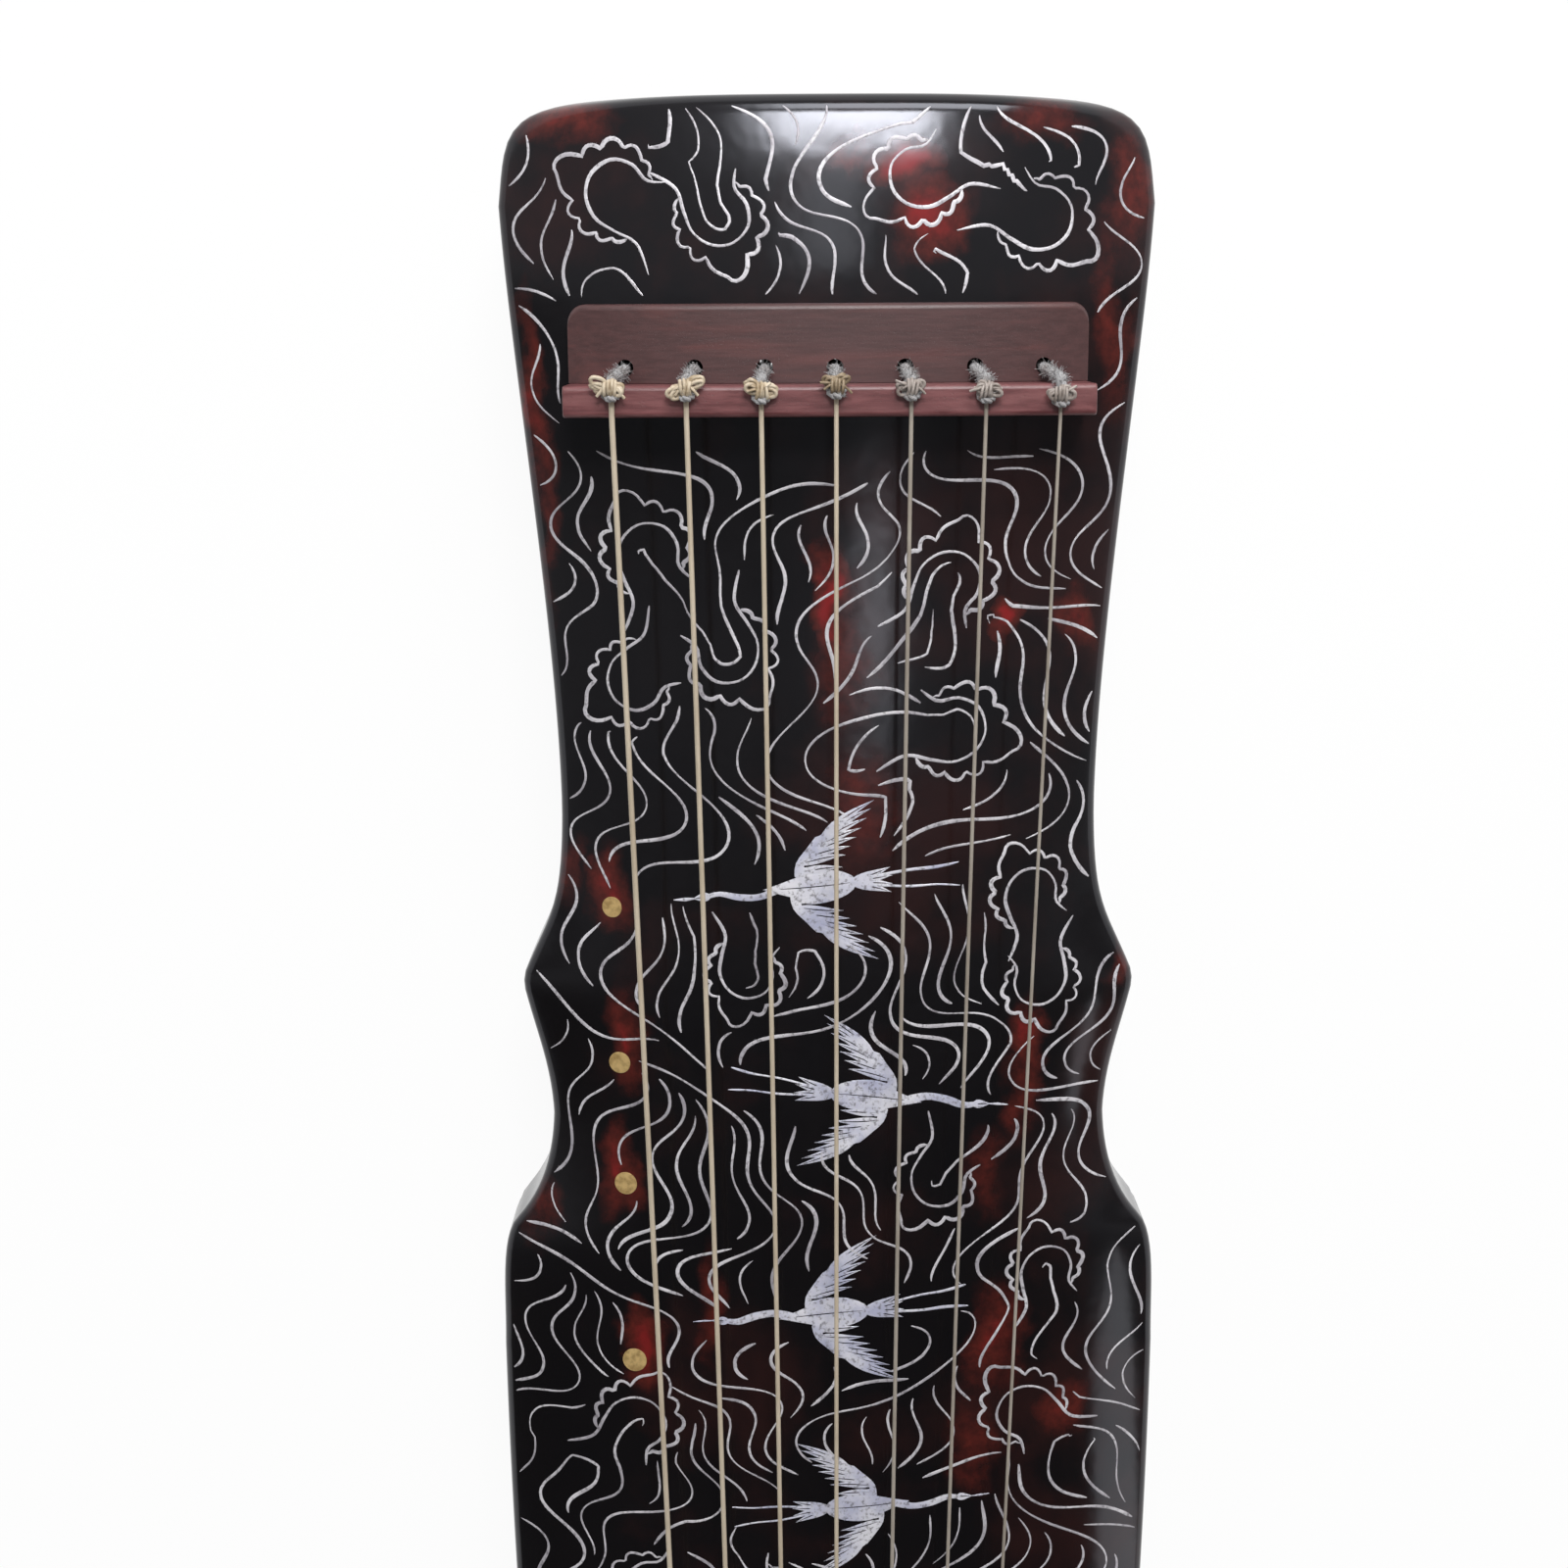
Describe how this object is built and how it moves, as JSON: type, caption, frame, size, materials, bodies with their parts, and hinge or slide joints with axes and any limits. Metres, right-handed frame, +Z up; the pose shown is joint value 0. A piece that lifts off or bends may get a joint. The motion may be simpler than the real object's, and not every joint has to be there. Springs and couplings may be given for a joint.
{
  "type": "guqin",
  "caption": "Long seven-string zither with an arched lacquered soundboard, inlaid studs, bridge, tuning pegs, guards and feet.",
  "frame": {"origin": "middle of the body's length and width, on the surface that the guards and feet stand on", "axes": "+X along the body to the head end with the bridge, +Y to the side with the inlaid studs, +Z up through the strings"},
  "size_m": [1.244, 0.202, 0.1014],
  "materials": {
    "lacquer": "gloss black-brown lacquer with cloudy red patches",
    "rosy_hardwood": "satin",
    "dark_hardwood": "satin with fine streaks",
    "plain_wood": "raw",
    "stud_metal": "brushed",
    "string_silk": "smooth wound",
    "cord_wool": "fuzzy twisted"
  },
  "bodies": {
    "root": {"soundboard": "lacquer", "bottom_board": "lacquer", "bridge": "rosy_hardwood", "head_strip": "dark_hardwood", "tail_nut": "dark_hardwood", "tail_saddle": "dark_hardwood", "peg_plate": "dark_hardwood", "long_hole_rim": "dark_hardwood", "short_hole_rim": "dark_hardwood", "round_post": "plain_wood", "square_post": "plain_wood", "corner_inlay_left": "dark_hardwood", "corner_inlay_right": "dark_hardwood", "peg_guard_left": "dark_hardwood", "peg_guard_right": "dark_hardwood", "foot_left": "dark_hardwood", "foot_right": "dark_hardwood", "foot_socket_left": "dark_hardwood", "foot_socket_right": "dark_hardwood", "stud_01": "stud_metal", "stud_02": "stud_metal", "stud_03": "stud_metal", "stud_04": "stud_metal", "stud_05": "stud_metal", "stud_06": "stud_metal", "stud_07": "stud_metal", "stud_08": "stud_metal", "stud_09": "stud_metal", "stud_10": "stud_metal", "stud_11": "stud_metal", "stud_12": "stud_metal", "stud_13": "stud_metal", "string_1": "string_silk", "string_2": "string_silk", "string_3": "string_silk", "string_4": "string_silk", "string_5": "string_silk", "string_6": "string_silk", "string_7": "string_silk", "peg_cord_1": "cord_wool", "peg_cord_2": "cord_wool", "peg_cord_3": "cord_wool", "peg_cord_4": "cord_wool", "peg_cord_5": "cord_wool", "peg_cord_6": "cord_wool", "peg_cord_7": "cord_wool"},
    "peg_1_body": {"peg_1": "dark_hardwood"},
    "peg_2_body": {"peg_2": "dark_hardwood"},
    "peg_3_body": {"peg_3": "dark_hardwood"},
    "peg_4_body": {"peg_4": "dark_hardwood"},
    "peg_5_body": {"peg_5": "dark_hardwood"},
    "peg_6_body": {"peg_6": "dark_hardwood"},
    "peg_7_body": {"peg_7": "dark_hardwood"}
  },
  "joints": [
    {"name": "peg_1_turn", "type": "hinge", "parent": "root", "child": "peg_1_body", "pos_m": [0.5488, 0.05602, 0.0207], "axis": [0, 0, 1], "continuous": true},
    {"name": "peg_2_turn", "type": "hinge", "parent": "root", "child": "peg_2_body", "pos_m": [0.5488, 0.03678, 0.0207], "axis": [0, 0, 1], "continuous": true},
    {"name": "peg_3_turn", "type": "hinge", "parent": "root", "child": "peg_3_body", "pos_m": [0.5488, 0.01754, 0.0207], "axis": [0, 0, 1], "continuous": true},
    {"name": "peg_4_turn", "type": "hinge", "parent": "root", "child": "peg_4_body", "pos_m": [0.5488, -0.0017, 0.0207], "axis": [0, 0, 1], "continuous": true},
    {"name": "peg_5_turn", "type": "hinge", "parent": "root", "child": "peg_5_body", "pos_m": [0.5488, -0.02094, 0.0207], "axis": [0, 0, 1], "continuous": true},
    {"name": "peg_6_turn", "type": "hinge", "parent": "root", "child": "peg_6_body", "pos_m": [0.5488, -0.04018, 0.0207], "axis": [0, 0, 1], "continuous": true},
    {"name": "peg_7_turn", "type": "hinge", "parent": "root", "child": "peg_7_body", "pos_m": [0.5488, -0.05942, 0.0207], "axis": [0, 0, 1], "continuous": true}
  ]
}
